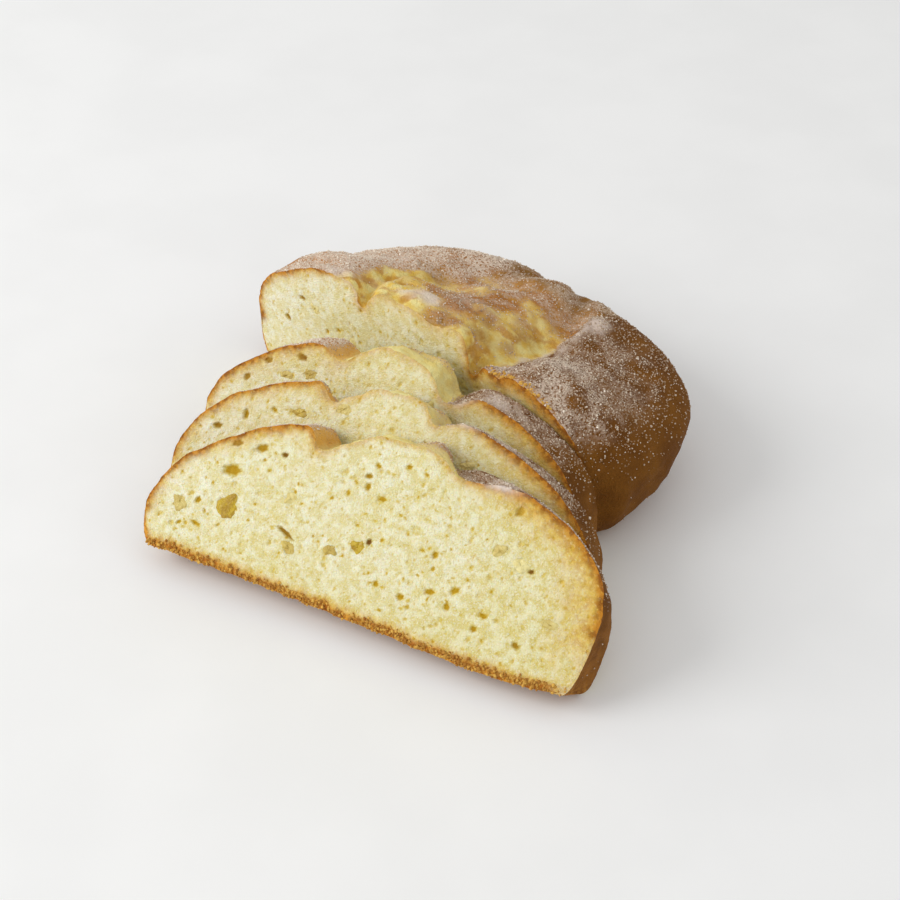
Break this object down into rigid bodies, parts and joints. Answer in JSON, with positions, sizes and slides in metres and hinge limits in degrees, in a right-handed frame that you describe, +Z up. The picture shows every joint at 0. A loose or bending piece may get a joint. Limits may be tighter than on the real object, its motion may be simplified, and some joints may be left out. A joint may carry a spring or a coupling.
{
  "type": "stollen",
  "caption": "Sliced stollen: a sugared domed loaf with a flat cut face, and thin slices fanned in front of it, leaning back.",
  "frame": {"origin": "centre of the bounding box in X and Y, at the height of the surface that it rests on", "axes": "+Z up; +Y along the loaf, from its cut face to its rounded end; the slices stand towards -Y"},
  "size_m": [0.1772, 0.1608, 0.0525],
  "materials": {
    "sugared_crust": "rough brown crust with sugar",
    "crumb": "rough porous pale yellow crumb",
    "candied_peel": "satin, slightly moist",
    "sugar": "sparkling grains"
  },
  "bodies": {
    "root": {"loaf": "sugared_crust", "slice_back": "crumb", "slice_middle": "crumb", "slice_front": "crumb"}
  },
  "joints": []
}
